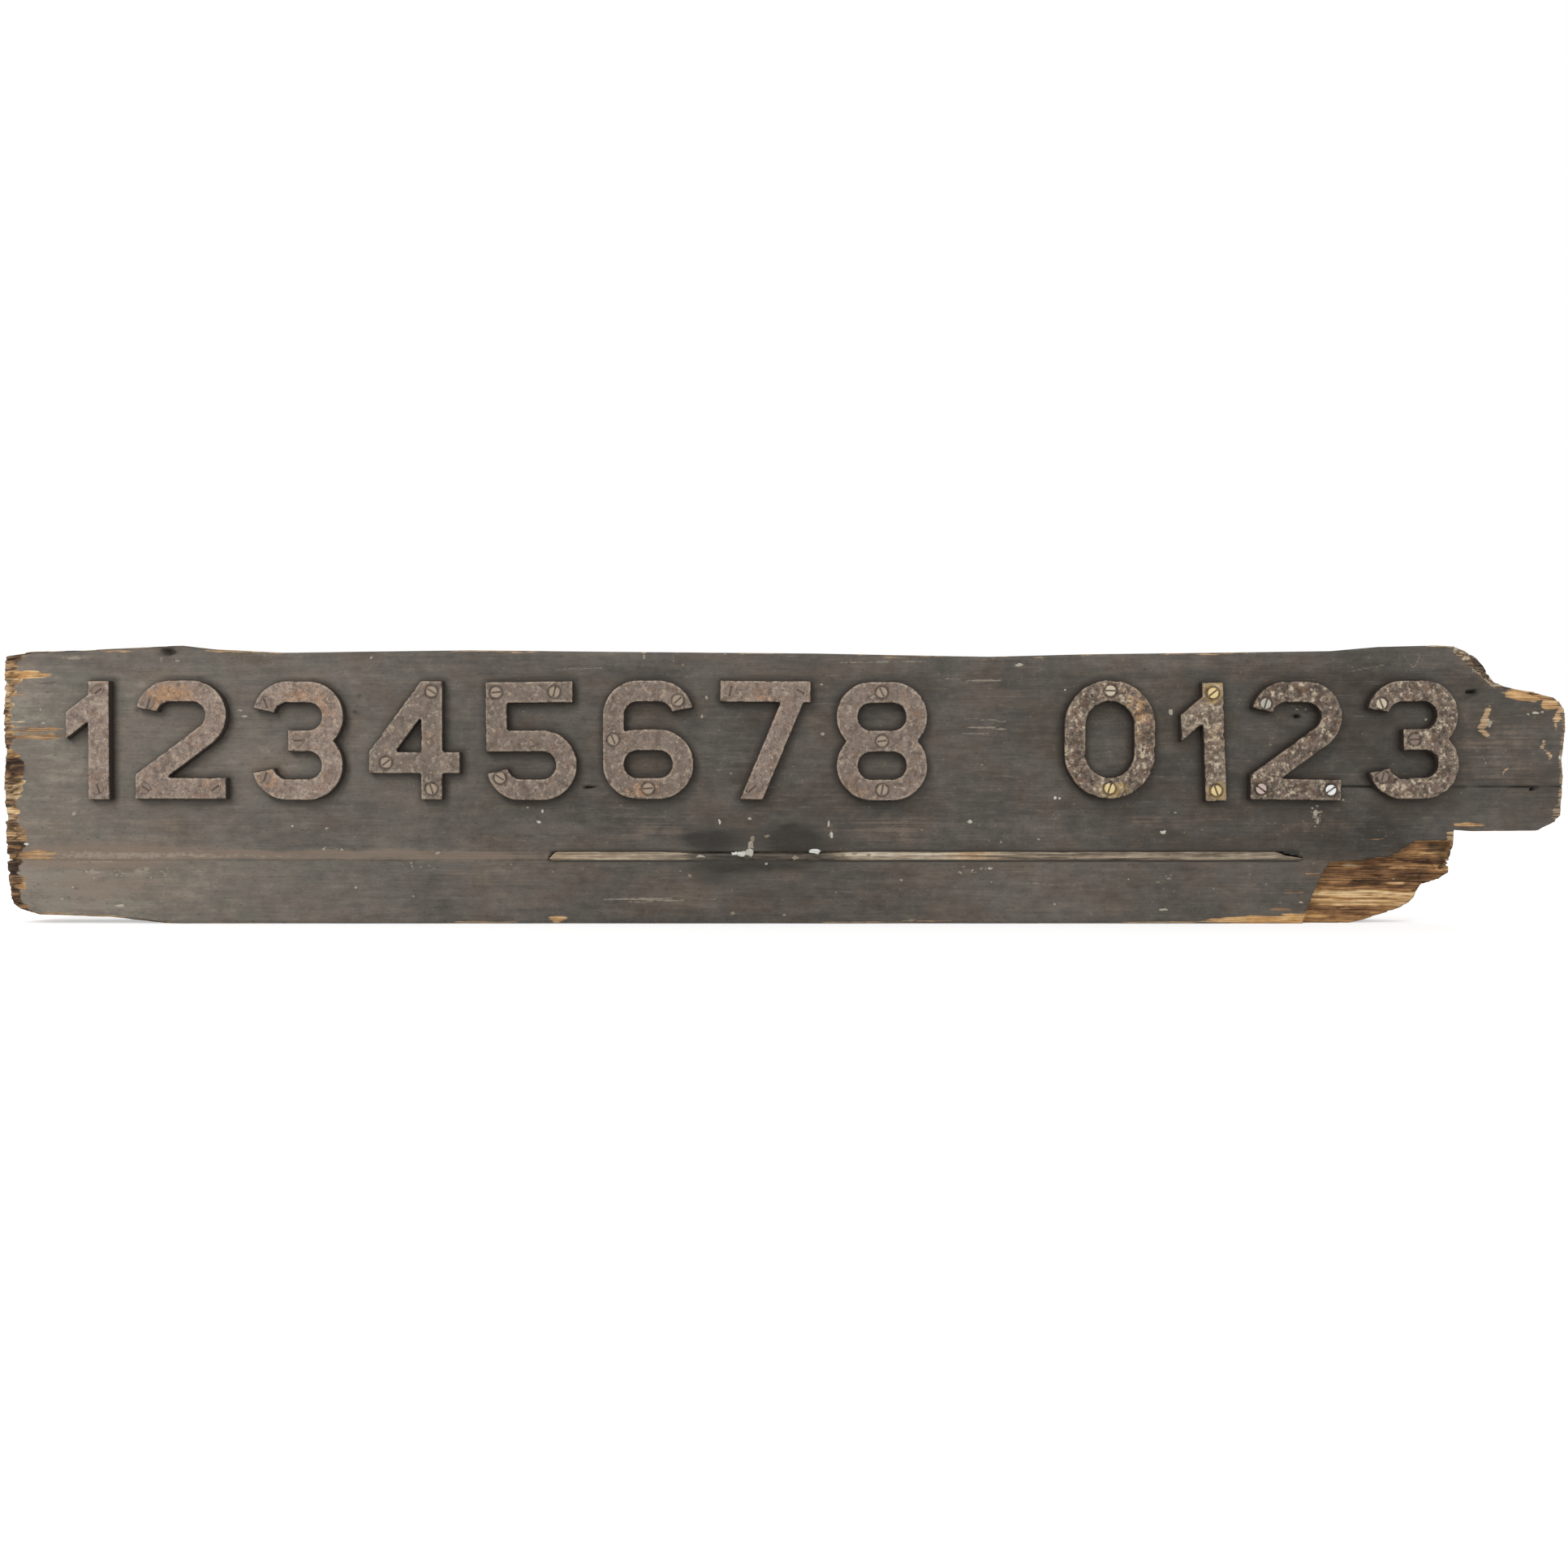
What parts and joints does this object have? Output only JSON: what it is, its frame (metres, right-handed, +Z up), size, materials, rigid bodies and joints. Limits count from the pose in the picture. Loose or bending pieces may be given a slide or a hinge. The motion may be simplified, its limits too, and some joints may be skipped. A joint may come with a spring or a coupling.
{
  "type": "railway sign",
  "caption": "Weathered timber railway nameboard: two edge-jointed boards on back ledges, with cast iron numerals screwed to the face and a broken right end.",
  "frame": {"origin": "centre of the sign's length and height, on the plane of the ledges' backs, which lies against the wall", "axes": "+X along the sign to the right as it is read, +Y from the sign into the wall, +Z up; the face looks towards -Y"},
  "size_m": [1.333, 0.0785, 0.2372],
  "materials": {
    "painted_board": "old dark grey paint, worn to bare grain",
    "slip_wood": "grey weathered timber",
    "ledge_wood": "weathered, remains of dark paint",
    "rusty_casting": "pitted, brown-grey rust",
    "dark_casting": "deeply pitted, mottled dark rust",
    "rusty_screw": "rusted",
    "bright_screw": "dull, partly tarnished",
    "ledge_screw": "rusted"
  },
  "bodies": {
    "root": {"upper_board": "painted_board", "lower_board": "painted_board", "joint_slip": "slip_wood", "left_ledge": "ledge_wood", "middle_ledge": "ledge_wood", "right_ledge": "ledge_wood", "left_ledge_screws": "ledge_screw", "middle_ledge_screws": "ledge_screw", "right_ledge_screws": "ledge_screw", "left_numeral_1": "rusty_casting", "left_numeral_2": "rusty_casting", "left_numeral_3": "rusty_casting", "left_numeral_4": "rusty_casting", "left_numeral_5": "rusty_casting", "left_numeral_6": "rusty_casting", "left_numeral_7": "rusty_casting", "left_numeral_8": "rusty_casting", "left_screws_1": "rusty_screw", "left_screws_2": "rusty_screw", "left_screws_3": "rusty_screw", "left_screws_4": "rusty_screw", "left_screws_5": "rusty_screw", "left_screws_6": "rusty_screw", "left_screws_7": "rusty_screw", "left_screws_8": "rusty_screw", "right_numeral_0": "dark_casting", "right_numeral_1": "dark_casting", "right_numeral_2": "dark_casting", "right_numeral_3": "dark_casting", "right_screws_0": "bright_screw", "right_screws_1": "bright_screw", "right_screws_2": "bright_screw", "right_screws_3": "bright_screw"}
  },
  "joints": []
}
